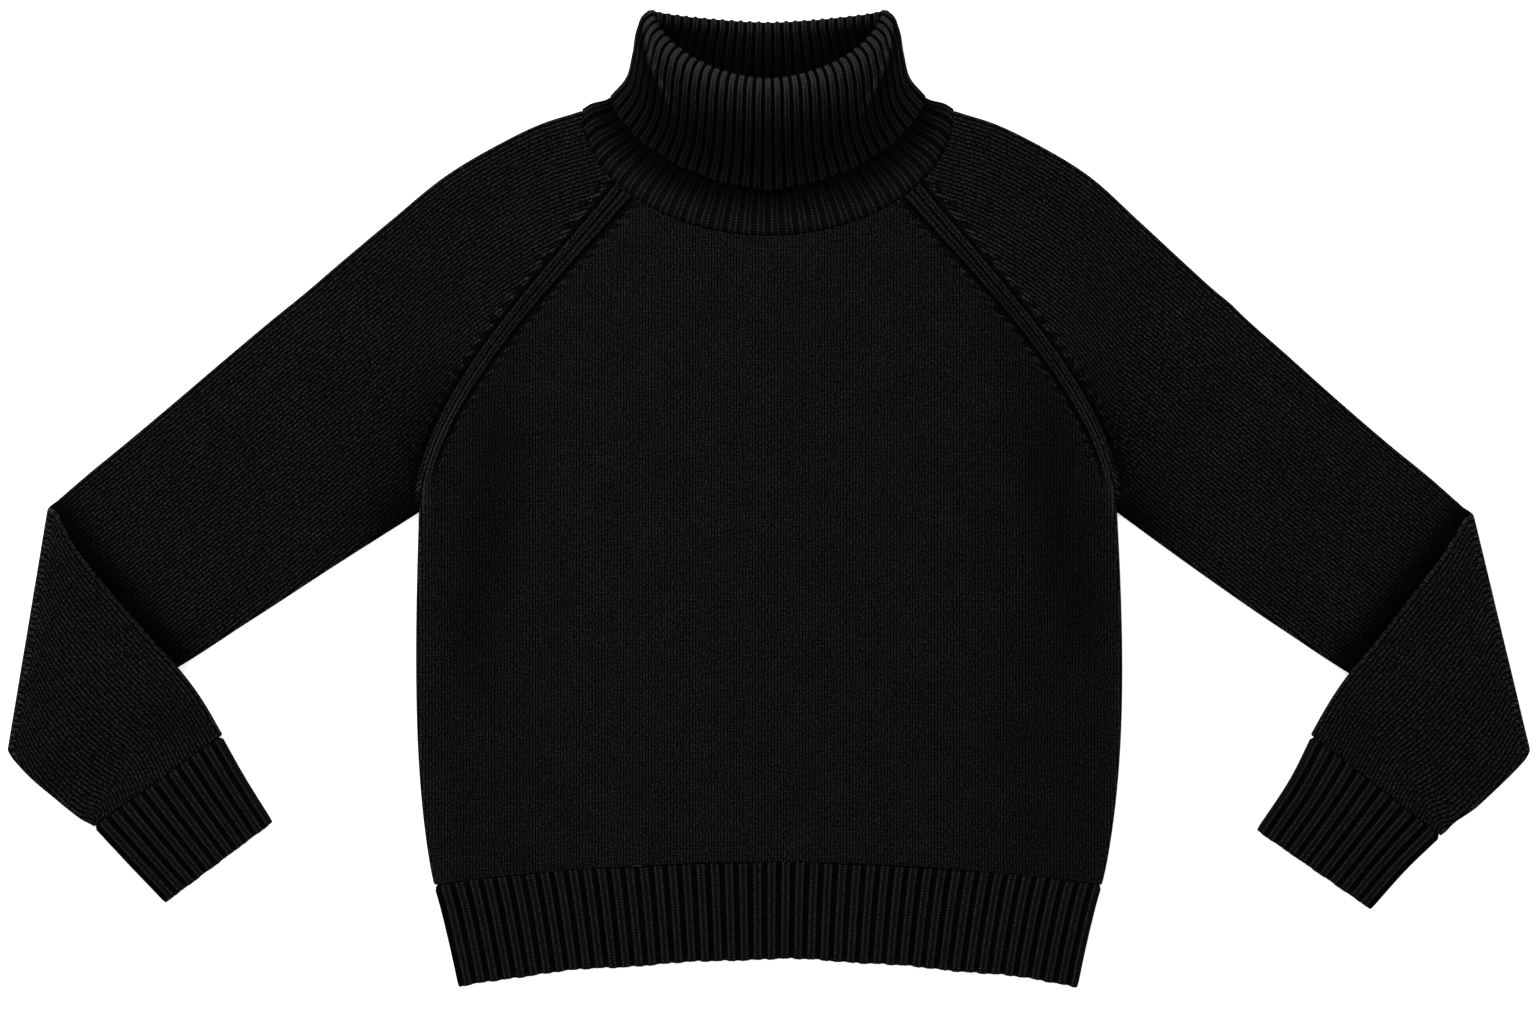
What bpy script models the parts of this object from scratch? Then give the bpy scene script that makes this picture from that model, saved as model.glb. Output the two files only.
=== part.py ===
"""Raglan turtleneck sweater, laid flat on its back with both forearms folded forward.

Metres, +Z up. The sweater lies on the plane z = 0 with its neck towards +Y and its front facing up.
The wearer's right side is at -X. Sizes are in millimetres and are scaled where meshes are made.
"""
import math

import bpy
from mathutils import Vector

MM = 0.001

# Cloth: (wall, middle of the layer on the surface, middle of the layer above it)
KNIT = (2.4, 1.2, 5.0)
RIB = (3.0, 1.5, 5.5)
SEAM = 0.3                  # gap between two pieces at a seam
BILLOW = 0.9                # how far the front panel swells in the middle

# Body: points are (distance from the centre line, y)
ARMPIT = (261.0, -10.0)
HEM_SIDE = (250.0, -289.0)
HEM_SEAM_RISE = 17.0        # the hem seam is this much higher in the middle than at the sides
HEM_CORNER = (231.5, -365.5)
HEM_EDGE_RISE = 20.5
SIDE_BELLY = 6.5            # how far the side bows out between armpit and hem

# Neckline: half an ellipse, deep in front and shallow behind, round one centre
NECK_HALF = 139.0
NECK_Y = 289.0
NECK_DROP = {"front": 92.0, "back": 27.0}
RAGLAN_X = {"front": 109.0, "back": 100.0}      # where the raglan seams leave the neckline
RAGLAN_LEAVE = {"front": 72.0, "back": 90.0}    # how steeply they leave it

# Elbow fold
AXIS_Z = 6.7                            # height of the line that the sleeve folds round
MIDDLE_R = AXIS_Z - (KNIT[1] + KNIT[2]) / 2
DROP = 2 * AXIS_Z - KNIT[2] - KNIT[0] / 2       # from the folded forearm down to the surface
DROP_START = 10.0                       # past the underside of the upper sleeve
DROP_RUN = 40.0

# Sections across the raglan seams, from the neckline to the armpit:
# share of the seam | how far its edges turn in | top edge x, y of the right and of the left sleeve
RAGLAN = [
    (0.000, 0.00, (139, 289), (139, 289)),
    (0.200, 0.00, (168, 281), (168, 281)),
    (0.380, 0.00, (203, 265), (203, 265)),
    (0.560, 0.00, (240, 243), (239, 243)),
    (0.730, 0.00, (282, 209), (277, 209)),
    (0.880, 0.00, (325, 173), (316, 173)),
    (0.950, 0.60, (346, 155), (336, 155)),
    (0.985, 0.85, (357, 146), (347, 146)),
    (1.000, 1.00, (362, 142), (351, 142)),
]

# Sleeve sections from the armpit to the elbow: top edge x, y | underside x, y
UPPER_ARM = {
    "right": [
        (362, 142, 261, -10),
        (404, 107, 321, -50),
        (445, 72, 389, -94),
        (483, 40, 456, -136),
        (512, 15, 516, -164),
        (537, -9, 570, -187),
    ],
    "left": [
        (351, 142, 261, -10),
        (390, 106, 319, -50),
        (429, 71, 384, -94),
        (466, 40, 453, -137),
        (496, 14, 513, -164),
        (528, -12, 570, -187),
    ],
}

# Sleeve sections from the elbow to the cuff, where they lie once folded: same columns
FOREARM = {
    "right": [
        (520, -33, 550, -210),
        (496, -64, 531, -227),
        (464, -101, 516, -239),
        (434, -139, 509, -243),
        (410, -177, 505, -245),
    ],
    "left": [
        (505, -41, 551, -211),
        (482, -71, 532, -230),
        (455, -106, 515, -242),
        (430, -140, 508, -249),
        (408, -177, 504, -252),
    ],
}

# Cuff sections: same columns
CUFF = {
    "right": [(410, -177, 505, -245), (393, -207, 478, -274), (372, -241, 452, -301)],
    "left": [(408, -177, 504, -252), (393, -207, 480, -275), (367, -247, 452, -306)],
}

# Collar rings, along a rib from the neckline seam over the roll to the free edge:
# half width | side y | front y | back y | side z | front z | back z | roundness of the ring
COLLAR = [
    (135.5, 290.0, 197.8, 264.5, 3.2, 5.2, 1.5, 2.00),
    (129.0, 291.5, 208.0, 268.0, 4.6, 6.8, 2.6, 2.00),
    (117.5, 297.0, 228.0, 277.0, 5.6, 7.6, 5.3, 1.90),
    (106.5, 310.0, 252.0, 298.0, 6.0, 9.6, 5.4, 1.80),
    (98.0, 330.0, 280.0, 324.0, 6.8, 13.4, 5.6, 1.80),
    (91.5, 347.0, 301.5, 345.0, 8.6, 17.8, 7.8, 1.80),
    (87.5, 357.0, 309.6, 352.2, 10.2, 20.6, 8.2, 1.80),
    (89.5, 362.4, 312.2, 356.0, 11.4, 24.0, 5.0, 1.80),
    (94.5, 360.8, 308.6, 352.6, 10.4, 26.6, 1.8, 1.80),
    (97.5, 352.0, 298.0, 345.0, 8.4, 24.8, 1.5, 1.80),
    (101.5, 333.0, 276.0, 324.0, 6.8, 19.4, 1.5, 1.75),
    (110.0, 314.0, 252.0, 300.0, 6.2, 14.6, 1.5, 1.70),
    (121.5, 299.0, 231.0, 281.0, 6.4, 11.4, 1.5, 1.70),
]
CREASE_R = 2.4              # how tightly the collar turns at its two sides


def mix(a, b, t):
    return a + (b - a) * t


def ease(t):
    t = min(max(t, 0.0), 1.0)
    return t * t * (3 - 2 * t)


def neck_y(x, side):
    """Height of the neckline at a distance x from the centre line."""
    return NECK_Y - NECK_DROP[side] * math.sqrt(max(0.0, 1 - (x / NECK_HALF) ** 2))


def raglan(side, t):
    """The raglan seam from the neckline, t = 0, to the armpit, t = 1."""
    x = RAGLAN_X[side]
    y = neck_y(x, side)
    a, b = Vector((x, y)), Vector((x + 60, y - RAGLAN_LEAVE[side]))
    c, d = Vector((ARMPIT[0] - 3, ARMPIT[1] + 82)), Vector(ARMPIT)
    s = 1 - t
    return a * s ** 3 + b * 3 * s * s * t + c * 3 * s * t * t + d * t ** 3


def seam_gap(share):
    """Half the gap at the raglan seam. It widens at the armpit, where both edges turn in."""
    return SEAM * (2.2 if share > 0.8 else 0.6)


def body_side(t):
    """The side of the body from the hem rib, t = 0, to the armpit, t = 1."""
    x = mix(HEM_SIDE[0], ARMPIT[0], t) + SIDE_BELLY * math.sin(math.pi * t)
    return Vector((x, mix(HEM_SIDE[1], ARMPIT[1], t)))


def edge_turn(reach, cloth, front, closed):
    """Inset and height of a point at a distance from a layer's edge, measured along the cloth.

    closed runs from 0, a flat cut edge, to 1, an edge that turns in to meet the other layer.
    """
    wall, back_z, front_z = cloth
    radius = (front_z - back_z) / 2
    level = front_z if front else back_z
    middle = back_z + radius
    full = closed * math.pi / 2
    turn = max(0.0, full - reach / radius)
    edge = wall / 2 * math.sin(full)
    inset = edge + radius * (math.sin(full) - math.sin(turn)) + max(0.0, reach - radius * full)
    return inset, middle + (level - middle) * math.cos(turn)


def reaches(width, cloth, steps):
    """Distances across one layer: close together where the edges turn, even in between."""
    quarter = (cloth[2] - cloth[1]) / 2 * math.pi / 2
    turn = [quarter * i / 3 for i in range(3)]
    flat = [mix(quarter, width - quarter, i / steps) for i in range(steps + 1)]
    return turn + flat + [width - d for d in reversed(turn)]


def tube_section(top, low, cloth, closed=1.0, steps=7, bow=None):
    """A section of a flattened tube as points: up the front layer and down the back layer.

    top is its outer edge and low holds the inner edge of each layer, all in plan.
    """
    points = []
    for side in ("front", "back"):
        start = Vector(low[side])
        width = (top - start).length
        marks = reaches(width, cloth, steps)
        if side == "back":
            marks = marks[-2::-1]
        for mark in marks:
            lower = mark < width / 2
            reach = mark if lower else width - mark
            inset, z = edge_turn(reach, cloth, side == "front", closed if lower else 1.0)
            share = inset / width if lower else 1 - inset / width
            plan = start.lerp(top, share)
            if bow:
                plan += bow(share, side)
            points.append(Vector((plan.x, plan.y, z)))
    return points


def make_wall(name, rows, wall, material, join=None):
    """A wall of cloth through rows of points. From row join on, each row is a closed ring."""
    points, grid = [], []
    for r, row in enumerate(rows):
        ring = join is not None and r >= join
        fresh = row[:-1] if ring else row
        line = list(range(len(points), len(points) + len(fresh)))
        points += [Vector(p) * MM for p in fresh]
        grid.append(line + line[:1] if ring else line)
    faces = []
    for low, high in zip(grid, grid[1:]):
        for c in range(len(low) - 1):
            corners = dict.fromkeys((low[c], low[c + 1], high[c + 1], high[c]))
            faces.append(list(corners))
    mesh = bpy.data.meshes.new(name)
    mesh.from_pydata(points, [], faces)
    mesh.materials.append(material)
    mesh.shade_smooth()
    piece = bpy.data.objects.new(name, mesh)
    sweater.objects.link(piece)
    cloth = piece.modifiers.new("cloth", "SOLIDIFY")
    cloth.thickness = wall * MM
    cloth.offset = 0.0
    cloth.use_even_offset = True
    return piece


def make_material(name, colour, roughness):
    material = bpy.data.materials.new(name)
    material.use_nodes = True
    shader = material.node_tree.nodes["Principled BSDF"]
    shader.inputs["Base Color"].default_value = (*colour, 1.0)
    shader.inputs["Roughness"].default_value = roughness
    shader.inputs["Metallic"].default_value = 0.0
    return material


def body_panel(name, side, material):
    """Front or back: sides that turn in to the side seam, raglan edges and a neckline cut flat."""
    front = side == "front"
    side_rows = 7
    edges = [(body_side(i / side_rows), 0.0) for i in range(side_rows)]
    turns = [1.0] * side_rows
    for share, turn, *_ in reversed(RAGLAN):
        edges.append((raglan(side, share), 1 - share))
        turns.append(turn)
    rows = []
    for i, ((edge, up), closed) in enumerate(zip(edges, turns)):
        half = edge.x - seam_gap(1 - up)
        hem_share = max(0.0, 1 - i / side_rows)
        row = []
        for mark in reaches(2 * half, KNIT, 10):
            sign = -1 if mark <= half else 1
            reach = max(min(mark, 2 * half - mark), closed * SEAM * 2)
            inset, z = edge_turn(reach, KNIT, front, closed)
            across = 1 - inset / half
            y = edge.y + hem_share * HEM_SEAM_RISE * (1 - across ** 2)
            neck_x = across * RAGLAN_X[side]
            y += up ** 1.5 * (neck_y(neck_x, side) - neck_y(RAGLAN_X[side], side))
            if front:
                swell = math.sin(math.pi * (1 - across) / 2) * math.sin(math.pi * i / len(edges))
                z += BILLOW * swell
            row.append((sign * across * half, y, z))
        rows.append(row)
    rows[0] = [(x, y + SEAM / 2, z) for x, y, z in rows[0]]
    rows[-1] = [(x, y - SEAM, z) for x, y, z in rows[-1]]
    return make_wall(name, rows, KNIT[0], material)


def hem_rib(material):
    """The ribbed welt: a flattened tube that draws in towards its lower edge."""
    rows = []
    for i in range(4):
        t = i / 3
        half = mix(HEM_SIDE[0], HEM_CORNER[0], t ** 1.2)
        side_y = mix(HEM_SIDE[1] - SEAM / 2, HEM_CORNER[1], t)
        rise = mix(HEM_SEAM_RISE, HEM_EDGE_RISE, t)
        low = {"front": (-half, 0), "back": (-half, 0)}
        ring = tube_section(Vector((half, 0)), low, RIB, steps=11)
        rows.append([(p.x, side_y + rise * (1 - (p.x / half) ** 2), p.z) for p in ring])
    return make_wall("hem_rib", rows, RIB[0], material, join=0)


def fold_line(hand):
    """A point on the elbow's fold axis, and the direction outward across it."""
    top_x, top_y, low_x, low_y = UPPER_ARM[hand][-1]
    top, low = Vector((top_x, top_y)), Vector((low_x, low_y))
    along = (top - low).normalized()
    across = Vector((along.y, -along.x))
    return top - across * AXIS_Z, across


def unfold(plan, hand):
    """Where a point of the folded forearm is when the sleeve is laid out straight."""
    origin, across = fold_line(hand)
    return plan + across * (math.pi * MIDDLE_R - 2 * (plan - origin).dot(across))


def fold(point, hand):
    """Takes a point of the sleeve laid out straight over the elbow, forward and up."""
    origin, across = fold_line(hand)
    beyond = (point.xy - origin).dot(across)
    if beyond <= 0:
        return point
    turn = min(beyond / MIDDLE_R, math.pi)
    radius = AXIS_Z - point.z
    past = beyond - turn * MIDDLE_R
    plan = point.xy + across * (radius * math.sin(turn) - past - beyond)
    return Vector((plan.x, plan.y, AXIS_Z - radius * math.cos(turn)))


def past_underside(plan, hand):
    """How far a point in plan is past the underside of the upper sleeve, towards the hem."""
    best = None
    for a, b in zip(UPPER_ARM[hand], UPPER_ARM[hand][1:]):
        start, run = Vector(a[2:]), Vector(b[2:]) - Vector(a[2:])
        share = min(max((plan - start).dot(run) / run.length_squared, 0.0), 1.0)
        gap = plan - start - run * share
        signed = gap.dot(Vector((run.y, -run.x)).normalized())
        if best is None or gap.length < best[0]:
            best = (gap.length, signed)
    return best[1]


def settle(point, hand):
    """Lets the folded forearm down on to the surface beyond the upper sleeve."""
    fall = DROP * ease((past_underside(point.xy, hand) - DROP_START) / DROP_RUN)
    return Vector((point.x, point.y, point.z - fall))


def neck_bow(share, side):
    """From the straight line across the sleeve head to the round neckline it is sewn to."""
    start = math.asin(RAGLAN_X[side] / NECK_HALF)
    angle = mix(start, math.pi / 2, share)
    arc = Vector((NECK_HALF * math.sin(angle), NECK_Y - NECK_DROP[side] * math.cos(angle)))
    seam = Vector((RAGLAN_X[side], neck_y(RAGLAN_X[side], side)))
    return arc - seam.lerp(Vector((NECK_HALF, NECK_Y)), share)


def mirrored(rows, hand):
    """Tables count outward from the centre line. The wearer's right is at -X."""
    sign = -1 if hand == "right" else 1
    return [[(sign * p[0], p[1], p[2]) for p in row] for row in rows]


def sleeve(hand, material):
    """A raglan sleeve: open at its head, closed below the armpit, folded at the elbow."""
    rows = []
    head = RAGLAN[:-1]
    for i, (seam_share, closed, right_top, left_top) in enumerate(head):
        top = Vector(right_top if hand == "right" else left_top)
        gap = Vector((seam_gap(seam_share), 0))
        low = {side: raglan(side, seam_share) + gap for side in NECK_DROP}
        strength = (1.0, 0.45, 0.1)[i] if i < 3 else 0.0
        bow = (lambda s, side, k=strength: neck_bow(s, side) * k) if strength else None
        rows.append(tube_section(top, low, KNIT, closed, bow=bow))
    rows[0] = [p + Vector((SEAM, -SEAM, 0)) for p in rows[0]]
    origin, across = fold_line(hand)
    flat = [(Vector(r[:2]), Vector(r[2:])) for r in UPPER_ARM[hand]]
    flat[0] = (flat[0][0], flat[0][1] + Vector((SEAM, SEAM)))
    bend = [[p - across * (p - origin).dot(across) for p in flat.pop()]]
    steps = 6
    for i in range(1, steps + 1):
        bend.append([p + across * (math.pi * MIDDLE_R * i / steps) for p in bend[0]])
    arm = flat + bend
    arm += [(unfold(Vector(r[:2]), hand), unfold(Vector(r[2:]), hand)) for r in FOREARM[hand]]
    for i, (top, low) in enumerate(arm):
        section = tube_section(top, {"front": low, "back": low}, KNIT)
        section = [fold(p, hand) for p in section]
        if i >= len(flat) + steps:
            section = [settle(p, hand) for p in section]
        rows.append(section)
    return make_wall(f"{hand}_sleeve", mirrored(rows, hand), KNIT[0], material, join=len(head))


def cuff(hand, material):
    """The ribbed cuff: a flattened tube on the end of the folded forearm."""
    rows = []
    for i, row in enumerate(CUFF[hand]):
        inner, lower = Vector(row[:2]), Vector(row[2:])
        if i == 0:
            along = (inner - lower).normalized()
            step = Vector((-along.y, along.x)) * SEAM * 2
            inner, lower = inner + step, lower + step
        rows.append(tube_section(inner, {"front": lower, "back": lower}, RIB, steps=5))
    return make_wall(f"{hand}_cuff", mirrored(rows, hand), RIB[0], material, join=0)


def collar_ring(row, front_steps=18, back_steps=14):
    """One ring of the collar, starting at the front centre and even along each half."""
    half, side_y, front_y, back_y, side_z, front_z, back_z, round_ = row
    turn_rate = math.sqrt(CREASE_R * half)
    ring = []
    for end_y, end_z, steps, first in (
            (front_y, front_z, front_steps // 2, 1), (back_y, back_z, back_steps // 2, -1)):
        fine = []
        for i in range(241):
            angle = math.pi / 2 * i / 240
            c = math.cos(angle)
            depth = (1 - math.sin(angle) ** round_) ** (1 / round_)
            soft = (math.sqrt(depth ** 2 + 0.0016) - 0.04) / (math.sqrt(1.0016) - 0.04)
            rise = end_z - side_z
            z = side_z + rise * math.tanh(turn_rate * c / abs(rise))
            fine.append(Vector((half * math.sin(angle), mix(side_y, end_y, soft), z)))
        runs = [0.0]
        for a, b in zip(fine, fine[1:]):
            runs.append(runs[-1] + (b - a).length)
        even, k = [], 0
        for i in range(steps + 1):
            goal = runs[-1] * i / steps
            while k < len(runs) - 2 and runs[k + 1] < goal:
                k += 1
            even.append(fine[k].lerp(fine[k + 1], (goal - runs[k]) / (runs[k + 1] - runs[k])))
        ring += even if first > 0 else even[::-1][1:]
    other = [Vector((-p.x, p.y, p.z)) for p in reversed(ring[:-1])]
    return ring + other


def collar(material):
    """Neck band, roll and turned-down layer in one ribbed tube."""
    rings = [collar_ring(row) for row in COLLAR]
    return make_wall("turtleneck_collar", rings, RIB[0], material, join=0)


for old in list(bpy.data.objects):
    bpy.data.objects.remove(old)
sweater = bpy.data.collections.new("turtleneck_sweater")
bpy.context.scene.collection.children.link(sweater)

body_panel("front_panel", "front", make_material("front_knit", (0.012, 0.012, 0.013), 0.95))
body_panel("back_panel", "back", make_material("back_knit", (0.012, 0.012, 0.013), 0.95))
hem_rib(make_material("hem_rib_knit", (0.010, 0.010, 0.011), 0.95))
for hand in ("right", "left"):
    sleeve(hand, make_material(f"{hand}_sleeve_knit", (0.012, 0.012, 0.013), 0.95))
    cuff(hand, make_material(f"{hand}_cuff_knit", (0.010, 0.010, 0.011), 0.95))
collar(make_material("collar_knit", (0.010, 0.010, 0.011), 0.95))
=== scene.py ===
import math
from types import SimpleNamespace

import bpy
import numpy as np
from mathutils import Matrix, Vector


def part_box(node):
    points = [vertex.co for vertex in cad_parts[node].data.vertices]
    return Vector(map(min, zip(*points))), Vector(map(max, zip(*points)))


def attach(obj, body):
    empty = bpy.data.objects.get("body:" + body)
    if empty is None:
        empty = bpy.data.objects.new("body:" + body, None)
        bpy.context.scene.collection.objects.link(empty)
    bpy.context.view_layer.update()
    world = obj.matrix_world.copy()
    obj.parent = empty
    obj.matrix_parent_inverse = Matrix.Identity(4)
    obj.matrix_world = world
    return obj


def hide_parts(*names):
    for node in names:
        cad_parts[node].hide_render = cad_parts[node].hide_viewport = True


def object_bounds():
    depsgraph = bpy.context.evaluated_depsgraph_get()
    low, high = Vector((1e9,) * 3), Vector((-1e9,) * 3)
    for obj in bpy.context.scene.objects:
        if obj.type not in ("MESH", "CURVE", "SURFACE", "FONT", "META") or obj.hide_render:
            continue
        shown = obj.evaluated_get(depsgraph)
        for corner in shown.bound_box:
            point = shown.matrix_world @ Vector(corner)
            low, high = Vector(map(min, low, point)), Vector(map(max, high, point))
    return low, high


# A black raglan turtleneck in fine wool, laid flat on its back with both forearms folded forward.
# Lengths in the dictionaries are millimetres. The neck is towards +Y and the wearer's right is at -X.

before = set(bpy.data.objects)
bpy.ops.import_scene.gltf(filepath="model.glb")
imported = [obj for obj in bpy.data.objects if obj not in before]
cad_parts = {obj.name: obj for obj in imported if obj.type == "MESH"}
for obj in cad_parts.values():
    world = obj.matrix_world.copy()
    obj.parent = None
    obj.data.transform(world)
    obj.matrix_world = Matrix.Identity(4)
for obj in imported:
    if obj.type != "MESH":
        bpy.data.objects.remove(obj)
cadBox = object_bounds()
mm = 0.001
tableCentre = (-0.1, -0.1)             # middle of the box that the tables below describe
origin = Vector(((cadBox[0].x + cadBox[1].x) / 2 - tableCentre[0] * mm,
                 (cadBox[0].y + cadBox[1].y) / 2 - tableCentre[1] * mm, cadBox[0].z))
print("frame loaded, origin", tuple(round(v / mm, 2) for v in origin))

# Cloth: wall, and the middle heights of the layer on the surface and of the layer above it
knitCloth = {"wall": 2.4, "low": 1.2, "high": 5.0}
ribCloth = {"wall": 1.9, "low": 1.5, "high": 5.5}
seamGap = 0.1
# A joining edge dips this deep under its neighbour, with this much of its wall left there
tuck = {"run": 0.9, "ramp": 1.3, "depth": 1.6, "outside": 0.03, "inside": 0.14}


def mix(a, b, t):
    return a + (b - a) * t


def ease(t):
    t = np.clip(t, 0.0, 1.0)
    return t * t * (3 - 2 * t)


def bell(distance, width):
    return np.exp(-(distance / width) ** 2)


def smoothTable(stops, values, at):
    # a smooth line through the rows of a table
    stops, values, at = (np.asarray(a, float) for a in (stops, values, at))
    slopes = np.gradient(values, stops, axis=0)
    i = np.clip(np.searchsorted(stops, at, side="right") - 1, 0, len(stops) - 2)
    run = (stops[i + 1] - stops[i])[:, None]
    t = (at - stops[i])[:, None] / run
    return ((2 * t ** 3 - 3 * t ** 2 + 1) * values[i] + (t ** 3 - 2 * t ** 2 + t) * run * slopes[i]
            + (3 * t ** 2 - 2 * t ** 3) * values[i + 1] + (t ** 3 - t ** 2) * run * slopes[i + 1])


def runLength(points):
    steps = np.linalg.norm(np.diff(points, axis=0), axis=1)
    return np.concatenate([[0.0], np.cumsum(steps)])


def roundedMarks(total, spacing, edge=(0.0, 0.12, 0.4, 0.85, 1.5)):
    # stations along a piece, close together at its two ends so that the wall can round off there
    edge = np.array(edge)
    count = max(2, round((total - 2 * edge[-1]) / spacing))
    inner = np.linspace(edge[-1], total - edge[-1], count + 1)
    return np.concatenate([edge[:-1], inner, (total - edge[:-1])[::-1]])


def roundOff(distance, wall):
    # half the wall, less towards an edge so that the edge is round
    t = np.clip(distance / (wall / 2), 0.03, 1.0)
    return wall / 2 * np.sqrt(1 - (1 - t) ** 2)


def seamTuck(distance, over, under, lift):
    # beside a seam the joining piece dips just under the wall of its neighbour, so nothing shows through
    rise = ease((distance - tuck["run"]) / tuck["ramp"])
    return mix(tuck["outside"], over, rise), mix(tuck["inside"], under, rise), mix(-tuck["depth"], lift, rise)


def wander(x, y, size, seed):
    # slow uneven rise and fall, from -1 to 1
    a, b = x / size, y / size
    waves = (np.sin(1.7 * a + 0.9 * b + seed) + np.sin(-0.8 * a + 2.1 * b + 2.3 * seed)
             + np.sin(2.9 * a - 1.3 * b + 3.1 * seed) + np.sin(1.1 * a + 3.3 * b - 1.7 * seed))
    return waves / 4


def edgeTurn(reach, cloth, front, closed):
    # inset and height at a distance from a layer's edge: closed 0 is cut flat, 1 turns in to the side seam
    radius = (cloth["high"] - cloth["low"]) / 2
    level = cloth["high"] if front else cloth["low"]
    middle = cloth["low"] + radius
    full = closed * math.pi / 2
    turn = np.maximum(0.0, full - reach / radius)
    inset = (cloth["wall"] / 2 * np.sin(full) + radius * (np.sin(full) - np.sin(turn))
             + np.maximum(0.0, reach - radius * full) + np.minimum(0.0, reach))
    return inset, middle + (level - middle) * np.cos(turn)


def gridNormals(points, side, joined):
    along = np.gradient(points, axis=0)
    across = np.gradient(points, axis=1)
    if joined is not None:              # rows that close round share one direction where they meet
        ends = points[joined:, 1] - points[joined:, -2]
        across[joined:, 0] = ends
        across[joined:, -1] = ends
        along[joined:, -1] = along[joined:, 0]
    normals = np.cross(across, along) * side
    return normals / np.maximum(np.linalg.norm(normals, axis=2, keepdims=True), 1e-9)


def knitShell(name, middle, lift, over, under, side, uvs, values, joined=None):
    # a wall of cloth round a grid of middle points, over thick on its outside and under on its inside.
    # From row joined on, each row is a closed ring.
    rows, cols = middle.shape[:2]
    normals = gridNormals(middle, side, joined)
    outer = middle + normals * (lift + over)[..., None]
    inner = middle + normals * (lift - under)[..., None]
    index = np.arange(rows * cols).reshape(rows, cols)
    vertexOf = index.copy()
    if joined is not None:
        vertexOf[joined:, -1] = vertexOf[joined:, 0]
    quads = np.stack([index[:-1, :-1], index[:-1, 1:], index[1:, 1:], index[1:, :-1]], -1).reshape(-1, 4)
    if side < 0:
        quads = quads[:, ::-1]
    flat = vertexOf.ravel()
    total = rows * cols
    skin = flat[quads]
    edges = np.stack([skin, np.roll(skin, -1, 1)], -1).reshape(-1, 2)
    corners = np.stack([quads, np.roll(quads, -1, 1)], -1).reshape(-1, 2)
    keys, mirror = edges[:, 0] * total + edges[:, 1], edges[:, 1] * total + edges[:, 0]
    rim = ~np.isin(keys, mirror)
    a, b = edges[rim].T
    rimFaces = np.stack([b, a, a + total, b + total], -1)
    faces = np.concatenate([skin, skin[:, ::-1] + total, rimFaces])
    ca, cb = corners[rim].T
    cornerOf = np.concatenate([quads, quads[:, ::-1], np.stack([cb, ca, ca, cb], -1)])
    points = np.concatenate([outer.reshape(-1, 3), inner.reshape(-1, 3)])
    used, packed = np.unique(faces, return_inverse=True)
    packed = packed.reshape(faces.shape)
    mesh = bpy.data.meshes.new(name)
    mesh.from_pydata((points[used] * mm + np.array(origin)).tolist(), [], packed.tolist())
    for label, uv in uvs.items():
        spread = uv.reshape(-1, 2)[cornerOf]
        if label == "rib":              # a groove on one face is a rib on the other
            spread[len(skin):2 * len(skin), :, 0] += 0.5
        layer = mesh.uv_layers.new(name=label)
        layer.data.foreach_set("uv", spread.astype(np.float32).ravel())
    for label, value in values.items():
        both = np.tile(np.broadcast_to(value, (rows, cols)).ravel(), 2)[used]
        mesh.attributes.new(label, "FLOAT", "POINT").data.foreach_set("value", both.astype(np.float32))
    mesh.shade_smooth()
    mesh.validate()
    piece = bpy.data.objects.new(name, mesh)
    bpy.context.scene.collection.objects.link(piece)
    print(f"{name}: {rows} x {cols} grid, {2 * len(faces)} triangles")
    return piece


def dress(piece, node, slot, material, **cut):
    # hands a finished piece to the frame in place of its plain solid
    piece.data.materials.append(material)
    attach(piece, "root")
    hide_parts(node)
    low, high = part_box(node)
    points = np.array([v.co for v in piece.data.vertices])
    proud = max(*(np.array(low) - points.min(0)), *(points.max(0) - np.array(high)))
    print(f"{node}: stands at most {proud / mm:.2f} mm outside its solid's box")


def linearColour(code):
    channels = [int(code[i:i + 2], 16) / 255 for i in (1, 3, 5)]
    return (*[c / 12.92 if c <= 0.04045 else ((c + 0.055) / 1.055) ** 2.4 for c in channels], 1.0)


def addNode(tree, kind, inputs=(), **settings):
    # inputs, by the order of the sockets or by their names: a value, or the socket or node that feeds it
    node = tree.nodes.new(kind if kind.startswith("Node") else "ShaderNode" + kind)
    for key, value in settings.items():
        setattr(node, key, value)
    for key, value in inputs.items() if isinstance(inputs, dict) else enumerate(inputs):
        feed = value.outputs[0] if isinstance(value, bpy.types.Node) else value
        if isinstance(feed, bpy.types.NodeSocket):
            tree.links.new(feed, node.inputs[key])
        else:
            node.inputs[key].default_value = feed
    return node


knitFinish = {
    "wale": 2.35,                      # width of one column of stitches
    "course": 1.75,                    # height of one row of stitches
    "seamWale": 2.7,                   # width of a firm column beside a raglan seam
    # colours by stitch height: the deep and low ones are painted shade between the stitches
    "deep": "#000000", "low": "#070707", "mid": "#171717", "bright": "#343434",
    "roughness": 0.97,
    "relief": 0.9,                     # how far the yarn stands up
    "wobble": 0.4, "wobbleScale": 0.22,                 # how far stitches stray from their line
    "speckScale": 0.75, "speckRange": (0.22, 1.2),      # fuzz: fine specks in the yarn
    "slowScale": 0.03, "slowRange": (0.95, 1.05),       # and slow changes in how tightly it lies
}

# The V stitch, across in shares of its column. Of each pair, the first number is for knit that lies tight
# and the second for the looser knit of the sleeves, which has wider grooves between its columns.
stitchForm = {
    "grooveFrom": (0.24, 0.14), "grooveTo": (0.48, 0.42),
    "beat": (0.28, 0.12), "level": 0.72,                # rise and fall along the column, and its mean
    "slant": 1.2,
    "creaseHalf": 0.14, "creaseLevel": 0.72,            # the line between the two legs of the V
}

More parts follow.
